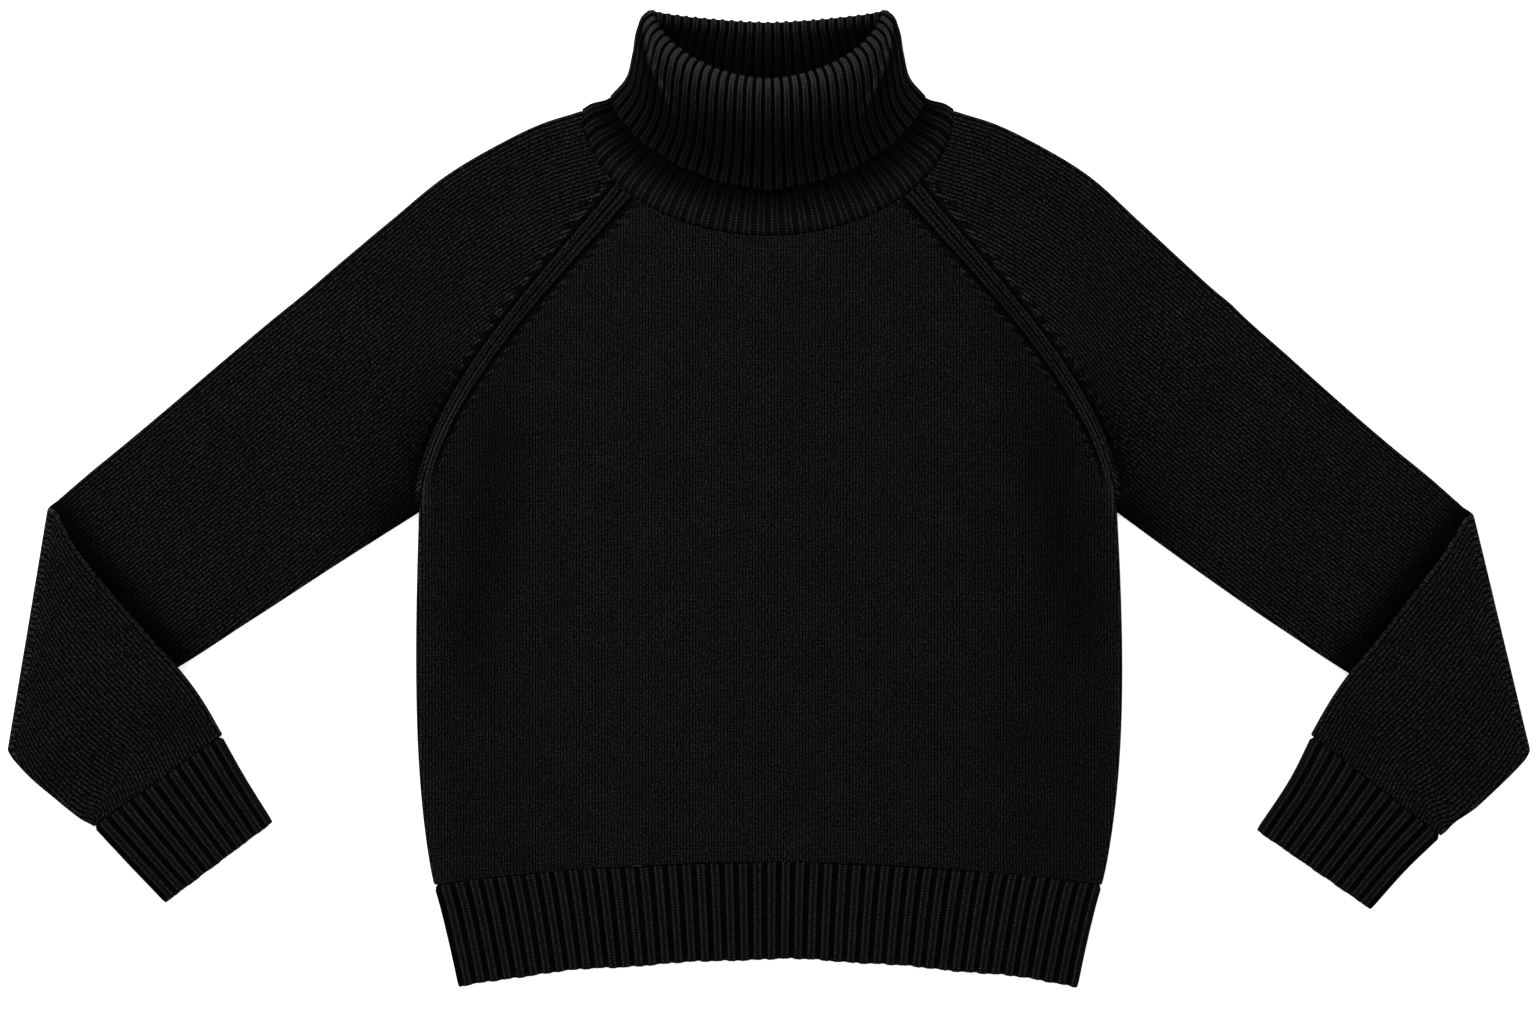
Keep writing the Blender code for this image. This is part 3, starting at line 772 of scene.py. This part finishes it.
sleeves = {
    "rowSpacing": 4.4, "middleColumns": 26,
    "stitchShrink": 0.79,              # stitches are drawn a little larger here, to show on the slant
    "upperTone": 0.99, "foreTone": 0.92,
    "upperSlack": 0.7, "foldTightens": 0.5, "foreSlack": 0.45,
    # painted shadow in the crook and beside the body at the armpit: depth and reach; then painted highlight
    # on the fold and the rim
    "dark": 0.95, "crookReach": 16, "armpitReach": 24,
    "foldLight": 0.3, "rimLight": 0.45,
    "seeds": {"right": (0.7, 1.7), "left": (2.9, 3.9)}, "unevenSize": 24,
    # columns of the grid beside the top edge
    "topEdge": (12, 8, 5.5, 4, 3, 2.2, 1.5, 0.75, 0.0),
    # soft folds as on the body, where the sleeve lies once folded, mirrored for the right arm
    "folds": {
        "right": [(300, 120, 330, 10, 16, -0.7), (420, 60, 470, -60, 20, 0.5), (330, 60, 400, -60, 18, 0.4),
                  (500, -120, 540, -200, 14, 0.5), (470, -160, 500, -230, 12, -0.5),
                  (440, -60, 520, -110, 16, -0.4)],
        "left": [(296, 118, 322, 16, 16, -0.7), (410, 70, 450, -40, 18, 0.5), (340, 40, 420, -80, 20, 0.4),
                 (490, -110, 538, -190, 15, 0.45), (455, -150, 496, -236, 12, -0.55),
                 (450, -70, 510, -100, 14, -0.4)],
    },
}


def foldLine(hand):
    topX, topY, lowX, lowY = upperArm[hand][-1]
    top, low = np.array((topX, topY), float), np.array((lowX, lowY), float)
    run = (top - low) / np.linalg.norm(top - low)
    across = np.array((run[1], -run[0]))
    return top - across * elbow["axisZ"], across


def unfold(plan, hand):
    start, across = foldLine(hand)
    past = (plan - start) @ across
    return plan + across * (math.pi * elbow["middleR"] - 2 * past)[..., None]


def foldOver(points, hand):
    # takes points of the sleeve laid out straight over the elbow, forward and up
    start, across = foldLine(hand)
    beyond = (points[..., :2] - start) @ across
    turn = np.clip(beyond / elbow["middleR"], 0, math.pi)
    radius = elbow["axisZ"] - points[..., 2]
    past = beyond - turn * elbow["middleR"]
    moved = points.copy()
    moved[..., :2] += across * (radius * np.sin(turn) - past - beyond)[..., None]
    moved[..., 2] = elbow["axisZ"] - radius * np.cos(turn)
    return np.where((beyond > 0)[..., None], moved, points)


def pastLine(plan, table):
    # how far a point in plan is past a line through a table of points
    table = np.array(table, float)
    best = np.full(plan.shape[:-1], 1e9)
    signed = np.zeros(plan.shape[:-1])
    for a, b in zip(table, table[1:]):
        run = b - a
        share = np.clip(((plan - a) @ run) / (run @ run), 0, 1)
        gap = plan - a - run * share[..., None]
        distance = np.linalg.norm(gap, axis=-1)
        side = gap @ (np.array((run[1], -run[0])) / np.linalg.norm(run))
        nearer = distance < best
        best, signed = np.where(nearer, distance, best), np.where(nearer, side, signed)
    return signed


def sleeveEdges(hand):
    # rows of the sleeve laid out straight, from the neckline over the elbow to the cuff
    headTop = np.array([row[1 if hand == "right" else 2] for row in sleeveHead], float)
    arm, fore = np.array(upperArm[hand], float), np.array(foreArm[hand], float)
    start, across = foldLine(hand)
    bendTop, bendLow = (point - across * ((point - start) @ across) for point in (arm[-1, :2], arm[-1, 2:]))
    foldRun = np.array((-across[1], across[0]))
    tipRise, cornerFall = elbow["tipRise"] * foldRun, -elbow["cornerFall"] * foldRun
    topTable = np.concatenate([headTop, arm[1:-1, :2], [bendTop + tipRise]])
    armLow = np.concatenate([arm[:-1, 2:], [bendLow]])
    armLow[0] += seamGap
    stops = runLength(topTable)
    armStops = stops[len(headTop) - 1:]
    marks = roundedMarks(stops[-1], sleeves["rowSpacing"])
    marks = marks[marks < stops[-1] - 2]
    marks = np.sort(np.append(marks[np.abs(marks - armStops[0]) > 1.2], armStops[[0, -1]]))
    joinAt = int(np.searchsorted(marks, armStops[0] - 1e-6))
    shares = np.interp(marks, stops[:len(headTop)], [row[0] for row in sleeveHead])
    # the top edge comes down from the tip as it goes round the fold, so the tip is rounded
    bendRun = math.pi * elbow["middleR"] * np.arange(1, elbow["steps"] + 1) / elbow["steps"]
    turned = bendRun[:, None] / bendRun[-1]
    tip = bendTop + across * bendRun[:, None] + tipRise * (1 - np.sin(turned * math.pi / 2))
    corner = bendLow + across * bendRun[:, None] + cornerFall * turned ** 2
    foreTop = np.concatenate([[bendTop + across * bendRun[-1]], unfold(fore[:, :2], hand)])
    foreLow = np.concatenate([[bendLow + across * bendRun[-1] + cornerFall], unfold(fore[:, 2:], hand)])
    foreStops = runLength(foreTop)
    foreMarks = roundedMarks(foreStops[-1], sleeves["rowSpacing"])
    foreMarks = foreMarks[foreMarks > 1.6]
    low = {}
    for side in ("front", "back"):
        seam = raglanLine(side, shares[:joinAt])
        seam[:, 0] += seamGap / 2
        low[side] = np.concatenate([seam, smoothTable(armStops, armLow, marks[joinAt:]), corner,
                                    smoothTable(foreStops, foreLow, foreMarks)])
    top = np.concatenate([smoothTable(stops, topTable, marks), tip,
                          smoothTable(foreStops, foreTop, foreMarks)])
    length = np.concatenate([marks, marks[-1] + bendRun, marks[-1] + bendRun[-1] + foreMarks])
    return SimpleNamespace(
        top=top, low=low, length=length, joinAt=joinAt, headEnd=armStops[0],
        shares=np.append(shares, np.ones(len(length) - len(marks))),            # of the raglan seam
        bow=np.interp(length, stops[:4], (1.0, 0.45, 0.1, 0.0)),                # out to the round neckline
        foldFrom=marks[-1], foldRun=bendRun[-1])


def neckBow(side, share):
    # from the straight end of the sleeve to the round neckline
    seamX = body["raglanX"][side]
    angle = mix(math.asin(seamX / body["neckHalf"]), math.pi / 2, share)
    arc = np.stack([body["neckHalf"] * np.sin(angle),
                    body["neckY"] - body["neckDrop"][side] * np.cos(angle)], -1)
    seam = np.array((seamX, float(neckLine(seamX, side))))
    return arc - (seam + (np.array((body["neckHalf"], body["neckY"])) - seam) * share[:, None])


def sleeveGrid(edges, side, closed):
    # x, y, z laid out straight, distance in from the seam, whole width
    topEdge = np.array(sleeves["topEdge"])
    rows = []
    for r, top in enumerate(edges.top):
        low = edges.low[side][r]
        width = np.linalg.norm(top - low)
        inner = np.linspace(nearSeam[-1], width - topEdge[0], sleeves["middleColumns"] + 1)[1:-1]
        tucked = -tuck["run"] * np.array((1, 0.4)) * (1 - closed[r])
        reach = np.concatenate([tucked, nearSeam, inner, width - topEdge])
        lower = reach < width / 2
        inset, z = edgeTurn(np.where(lower, reach, width - reach), knitCloth, side == "front",
                            np.where(lower, closed[r], 1.0))
        share = np.where(lower, inset / width, 1 - inset / width)
        plan = low + (top - low) * share[:, None]
        if edges.bow[r] > 0:
            plan = plan + neckBow(side, share) * edges.bow[r]
        rows.append(np.column_stack([plan, z, reach, np.full(len(reach), width)]))
    return np.array(rows)


def seamDistance(edges, side, reach):
    # distance from the seam, square to it
    run = np.gradient(edges.low[side], axis=0)
    chord = edges.top - edges.low[side]
    sine = np.abs(run[:, 0] * chord[:, 1] - run[:, 1] * chord[:, 0])
    sine /= np.linalg.norm(run, axis=1) * np.linalg.norm(chord, axis=1)
    return reach * np.clip(sine, 0.3, 1)[:, None]


def sleeveStitches(edges, plan):
    # columns of stitches run along the top edge and straight on from the armpit
    straight = edges.top[-1] - edges.top[edges.joinAt]
    early = np.gradient(edges.top[:edges.joinAt], axis=0)
    turns = np.arctan2(early[:, 1], early[:, 0])
    knots = np.array((0.0, 0.35, 0.7, 1.0)) * edges.headEnd
    headings = *np.interp(knots[:3], edges.length[:edges.joinAt], turns), math.atan2(straight[1], straight[0])
    angle = np.interp(edges.length, knots, headings)[:, None]
    x, y = np.moveaxis(plan - edges.top[:, None], 2, 0)
    return np.stack([x * np.sin(angle) - y * np.cos(angle),
                     edges.length[:, None] + x * np.cos(angle) + y * np.sin(angle)], -1)


def sleeve(hand):
    sign = -1 if hand == "right" else 1
    edges = sleeveEdges(hand)
    closed = np.interp(edges.shares, *turnStops)
    front, back = (sleeveGrid(edges, side, closed) for side in ("front", "back"))
    d = np.concatenate([seamDistance(edges, "front", front[..., 3]),
                        seamDistance(edges, "back", back[..., 3])[:, ::-1][:, 1:]], 1)
    isFront = np.arange(d.shape[1]) < front.shape[1]
    laidOut = np.concatenate([front, back[:, ::-1][:, 1:]], 1)
    reach, width = laidOut[..., 3], laidOut[..., 4]
    laidOut = laidOut[..., :3].copy()
    laidOut[0, :, :2] += np.array((seamGap, -seamGap))
    points = foldOver(laidOut, hand)
    closed, fade, shares, length = (column[:, None] for column in (
        closed, seamFade(edges.shares), edges.shares, edges.length))
    folded = length > edges.foldFrom + edges.foldRun * 0.98
    pastUnderside = pastLine(points[..., :2], [row[2:] for row in upperArm[hand]]) - elbow["dropStart"]
    points[..., 2] -= np.where(folded, elbow["drop"] * ease(pastUnderside / elbow["dropRun"]), 0.0)
    x, y = points[..., 0], points[..., 1]

    # relief: firm columns at the seam, then folds that fade out beside every edge and at the elbow
    fromEnds = np.minimum(length, length[-1] - length)
    held = ease(reach / heldRun) * ease((width - reach) / heldRun) * ease(fromEnds / heldRun)
    held = held * (1 - bell(length - edges.foldFrom, heldRun))
    lift = ridgeLift(d, fade) + held * (softFolds(x, y, sleeves["folds"][hand]) + unevenness(
        x, y, sleeves["unevenSize"], sleeves["seeds"][hand]))
    atArmpit = ease((shares - 0.5) / 0.4) * ease(1 - (length - edges.headEnd) / 60) * isFront
    lift = lift - raglanRidge["sleeveDip"] * atArmpit * bell(reach, 16) * ease(reach / 3)
    over = roundOff(fromEnds, knitCloth["wall"])
    under = np.full(over.shape, knitCloth["wall"] / 2)
    tucked = seamTuck(reach + tuck["run"], over, under, lift)
    over, under, lift = (mix(plain, dipped, 1 - closed) for plain, dipped in zip((over, under, lift), tucked))
    knit = sleeveStitches(edges, laidOut[..., :2]) * sleeves["stitchShrink"]
    uvs = {"knit": knit, "seam": np.stack([d, np.broadcast_to(length, reach.shape)], -1)}

    # painted shadow: the cloth is painted darkest in the crook under the folded forearm and beside the body
    # at the armpit
    toCrook = np.abs(pastLine(points[..., :2], [row[:2] for row in (upperArm[hand][-1], *foreArm[hand])]))
    shade = np.where(folded | ~isFront, 0.0, sleeves["dark"] * bell(toCrook, sleeves["crookReach"]))
    aboveArmpit = ease((1 - shares) / 0.06)
    rimClear = mix(1.0, ease((reach - 4.5) / 5), aboveArmpit)
    beside = np.exp(-reach / sleeves["armpitReach"])
    shade = np.maximum(shade, sleeves["dark"] * atArmpit * beside * rimClear)
    # and painted highlight: lightest on the outside of the fold and on the rim above the armpit
    fromFold = np.abs(length - edges.foldFrom - edges.foldRun / 2)
    light = sleeves["foldLight"] * np.exp(-fromFold / 9) * ease(fromFold / 5)
    light = light + sleeves["rimLight"] * atArmpit * bell(reach - 2.5, 3) * aboveArmpit
    tone = np.where(folded, sleeves["foreTone"], sleeves["upperTone"]) * (1 - shade + light)
    upperSlack = sleeves["upperSlack"] - sleeves["foldTightens"] * bell(fromFold, 9)
    values = {"marks": fade, "tone": tone, "slack": np.where(folded, sleeves["foreSlack"], upperSlack)}
    points[..., 0] *= sign
    return knitShell(f"{hand}Sleeve", points, lift, over, under, -sign, uvs, values, joined=edges.joinAt)


cuffs = {**flatRibs, "count": 11, "scallop": (0.9, 2.7, 5), "rowSpacing": 2.6}


def cuff(hand):
    table = np.array(cuffRows[hand], float)
    along = table[0, :2] - table[0, 2:]
    along /= np.linalg.norm(along)
    table[0] += np.tile((-along[1], along[0]), 2) * seamGap * 2
    stops = runLength((table[:, :2] + table[:, 2:]) / 2)
    marks = roundedMarks(stops[-1] + tuck["run"], cuffs["rowSpacing"]) - tuck["run"]
    sign = -1 if hand == "right" else 1
    lines, halves = [], []
    for row in smoothTable(stops, table, marks):
        def line(share, inner=row[:2], lower=row[2:]):
            return (lower + (inner - lower) * share[:, None]) * np.array((sign, 1))
        lines.append(line)
        halves.append(np.linalg.norm(row[:2] - row[2:]) / 2)
    return ribTube(f"{hand}Cuff", lines, halves, cuffs, sign)


for hand in ("right", "left"):
    dress(sleeve(hand), f"{hand}_sleeve", "plain_knit", plainFinish, flat=(0.38, 0.74), area=0.2,
          held="folded", rests_on=["floor"])
    dress(cuff(hand), f"{hand}_cuff", "rib_knit", ribFinishMaterial, flat=(0.22, 0.08), held="laid",
          rests_on=["floor"])

collar = {
    "count": {"front": 34, "back": 26}, "steps": 8, "rowSpacing": 2.5,
    "amplitude": 0.55, "uneven": (0.2, 2.3, 15, 1), "ramp": 4,
    "edgeRows": 2, "outside": -1, "scallop": (1.4, 1.7, 6), "bead": (1.3, 1.1),
    "filledAtSeam": 0.0, "filledAtEdge": (0.8, 3),
    "sideR": 2.4,                      # how tightly the tube turns from its front to its back
    "mouthFrom": 2, "rollRow": 6, "turnedFrom": 8,      # rows of the table below
    # tone of the cloth in front and behind, and how open the grooves are, for each row of the table.
    # The tone is painted light and shade: a painted highlight along the roll, painted shade on the
    # turned-down layer, and painted shadow under its free edge and down inside the mouth
    "frontTone": (0.85, 0.85, 0.3, 0.3, 0.4, 0.5, 0.8, 1.6, 2.2, 1.05, 0.5, 0.4, 0.6),
    "backTone": (0.8, 0.6, 0.3, 0.1, 0.35, 0.7, 1.0, 1.2, 1.2, 1.0, 0.8, 0.8, 0.8),
    "stretch": (0.85, 0.85, 0.7, 0.2, 0, 0, 0, 0, 0, 0, 0, 0, 0),
    # a soft diagonal crease at each side of the turned-down layer: ribs in from the side at its top and
    # at its end, share of the layer's depth it runs over
    "crease": {"from": 1.2, "to": 8.0, "reach": 0.62, "width": 1.1, "height": 1.4},
    # half width | side y | front y | back y | side z | front z | back z | roundness of front and of back
    "rings": [
        (140.5, 290.4, 197.3, 262.6, 3.2, 5.2, 1.5, 2.00, 2.00),
        (133.5, 295.0, 208.0, 267.4, 4.6, 6.8, 2.6, 2.00, 2.00),
        (120.0, 299.0, 228.0, 277.0, 5.6, 7.6, 5.3, 1.90, 1.90),
        (105.0, 311.0, 252.0, 298.0, 6.0, 9.6, 5.4, 1.80, 1.80),
        (98.0, 330.0, 280.0, 324.0, 6.8, 13.4, 5.6, 1.80, 1.80),
        (91.0, 347.0, 301.5, 344.4, 8.6, 17.8, 7.8, 1.80, 1.60),
        (87.0, 357.0, 309.6, 351.4, 10.2, 20.6, 8.2, 1.80, 1.45),
        (86.0, 364.8, 312.2, 356.2, 11.4, 24.0, 5.0, 1.80, 1.35),
        (91.5, 361.6, 308.6, 353.0, 10.4, 26.6, 1.8, 1.80, 1.45),
        (96.4, 352.4, 298.0, 345.0, 8.4, 24.8, 1.5, 1.80, 1.60),
        (100.2, 333.0, 276.0, 324.0, 6.8, 19.4, 1.5, 1.75, 1.75),
        (105.4, 314.0, 252.0, 300.0, 6.2, 14.6, 1.5, 1.70, 1.70),
        (117.4, 300.3, 231.0, 281.0, 6.4, 11.4, 1.5, 1.70, 1.70),
    ],
}


def collarRing(row):
    half, sideY, frontY, backY, sideZ, frontZ, backZ, frontRound, backRound = row
    rate = math.sqrt(collar["sideR"] * half)
    angle = np.linspace(0, math.pi / 2, 481)
    sine, cosine = np.sin(angle), np.cos(angle)
    quarter = []
    for endY, endZ, roundness, layer in ((frontY, frontZ, frontRound, "front"),
                                         (backY, backZ, backRound, "back")):
        depth = np.clip(1 - sine ** roundness, 0, None) ** (1 / roundness)
        soft = (np.sqrt(depth ** 2 + 0.0016) - 0.04) / (math.sqrt(1.0016) - 0.04)
        rise = endZ - sideZ
        z = sideZ + rise * np.tanh(rate * cosine / abs(rise))
        fine = np.stack([half * sine, mix(sideY, endY, soft), z], -1)
        run = runLength(fine)
        goal = np.linspace(0, run[-1], collar["count"][layer] * collar["steps"] // 2 + 1)
        even = np.stack([np.interp(goal, run, fine[:, k]) for k in range(3)], -1)
        quarter.append(even if layer == "front" else even[::-1][1:])
    right = np.concatenate(quarter)
    left = right[::-1][1:] * np.array((-1, 1, 1))
    return np.concatenate([right, left])


def collarTube():
    table = np.array(collar["rings"], float)
    stops = runLength(table[:, [2, 5]])
    marks = roundedMarks(stops[-1] + tuck["run"], collar["rowSpacing"]) - tuck["run"]
    middle = np.array([collarRing(row) for row in smoothTable(stops, table, marks)])
    cols = middle.shape[1]
    down = runDown(middle)
    # the turned-down layer shows the reverse of the tube, so its ribs are the band's grooves
    phase = np.arange(cols) / collar["steps"] + 0.5
    fromFront = np.minimum(np.arange(cols), np.arange(cols)[::-1]) / collar["steps"]
    fromSide = np.abs(collar["count"]["front"] / 2 - fromFront)[None]
    isFront = fromFront < collar["count"]["front"] / 2
    crease, turnedAt = collar["crease"], stops[collar["turnedFrom"]]
    turned = ((marks - turnedAt) / (stops[-1] - turnedAt))[:, None]
    fromCrease = fromSide - mix(crease["from"], crease["to"], turned / crease["reach"])
    present = ease((turned + 0.12) / 0.15) * ease((crease["reach"] - turned) / 0.25) * isFront
    creases = crease["height"] * present * bell(fromCrease, crease["width"])
    # painted highlight along the crease, and painted shade beside it towards the side
    creaseTone = present * (1.5 * bell(fromCrease, crease["width"] * 0.55)
                            - 0.6 * bell(fromCrease + 1.6, crease["width"] * 1.1))
    frontTone, backTone, opened = (np.interp(marks, stops, collar[key])[:, None]
                                   for key in ("frontTone", "backTone", "stretch"))
    # painted shade: the back wall of the mouth is painted darkest in its two corners
    inMouth = ease((marks - stops[collar["mouthFrom"]]) / 12)
    inMouth = inMouth * ease((stops[collar["rollRow"]] + 4 - marks) / 8)
    backTone = backTone * (1 - 0.92 * inMouth[:, None] * bell(fromSide, 7) * ~isFront)
    frontShare = ease(0.5 + np.cos(2 * np.pi * np.linspace(0, 1, cols)))[None]
    tone = mix(backTone, frontTone, frontShare) * (1 + creaseTone)
    return ribShell("turtleneckCollar", middle, down, phase, collar, 1, tone, opened * frontShare, creases)


dress(collarTube(), "turtleneck_collar", "rib_knit", ribFinishMaterial, flat=(0.67, 0.2), area=0.092,
      held="folded", rests_on=["front_panel", "back_panel"])
print("sweater built")

# metres here, apart from the lens and the aim, which is how far the camera stands from the origin
studio = {
    "floor": "#f7f7f6", "floorShade": "#f3f3f2", "floorSize": 8.0, "grainScale": 40.0,
    "sky": 0.75,
    "glow": 0.6,                       # the paper is lit from behind, so it carries no shadow
    "softBox": {"place": (-1.1, 2.2, 1.7), "size": 1.3, "watts": 70.0},
    "cameraHeight": 2.72, "lens": 85.0, "aim": (0.0, -9.75),
}


def paleFloor():
    size = studio["floorSize"]
    mesh = bpy.data.meshes.new("floor")
    corners = [(-size, -size, 0), (size, -size, 0), (size, size, 0), (-size, size, 0)]
    mesh.from_pydata([Vector(c) / 2 for c in corners], [], [(0, 1, 2, 3)])
    floor = bpy.data.objects.new("floor", mesh)
    floor.location = (origin.x, origin.y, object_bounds()[0].z - 0.0002)
    bpy.context.scene.collection.objects.link(floor)
    # matt studio paper, very slightly uneven
    material, tree = newFinish("mattPaper")
    place = addNode(tree, "TexCoord")
    grain = addNode(tree, "TexNoise", {"Vector": place.outputs["Object"], "Scale": studio["grainScale"]})
    tone = addNode(tree, "ValToRGB", (grain,))
    for stop, key in zip(tone.color_ramp.elements, ("floorShade", "floor")):
        stop.color = linearColour(studio[key])
    shader = addNode(tree, "BsdfPrincipled", {
        "Base Color": tone, "Emission Color": linearColour("#ffffff"), "Emission Strength": studio["glow"],
        "Roughness": 0.9, "Specular IOR Level": 0.2})
    addNode(tree, "OutputMaterial", {"Surface": shader})
    mesh.materials.append(material)


paleFloor()

scene = bpy.context.scene
scene.view_settings.view_transform = "Standard"
world = bpy.data.worlds.new("studio")
world.use_nodes = True
world.node_tree.nodes["Background"].inputs["Color"].default_value = (1, 1, 1, 1)
world.node_tree.nodes["Background"].inputs["Strength"].default_value = studio["sky"]
scene.world = world

softBox = bpy.data.lights.new("softBox", "AREA")
softBox.size = studio["softBox"]["size"]
softBox.energy = studio["softBox"]["watts"]
softBoxObject = bpy.data.objects.new("softBox", softBox)
softBoxObject.location = studio["softBox"]["place"]
softBoxObject.rotation_euler = (origin - softBoxObject.location).to_track_quat("-Z", "Y").to_euler()
scene.collection.objects.link(softBoxObject)

cameraData = bpy.data.cameras.new("camera")
cameraData.lens = studio["lens"]
camera = bpy.data.objects.new("camera", cameraData)
camera.location = (origin.x + studio["aim"][0] * mm, origin.y + studio["aim"][1] * mm, studio["cameraHeight"])
scene.collection.objects.link(camera)
scene.camera = camera
print("studio ready")
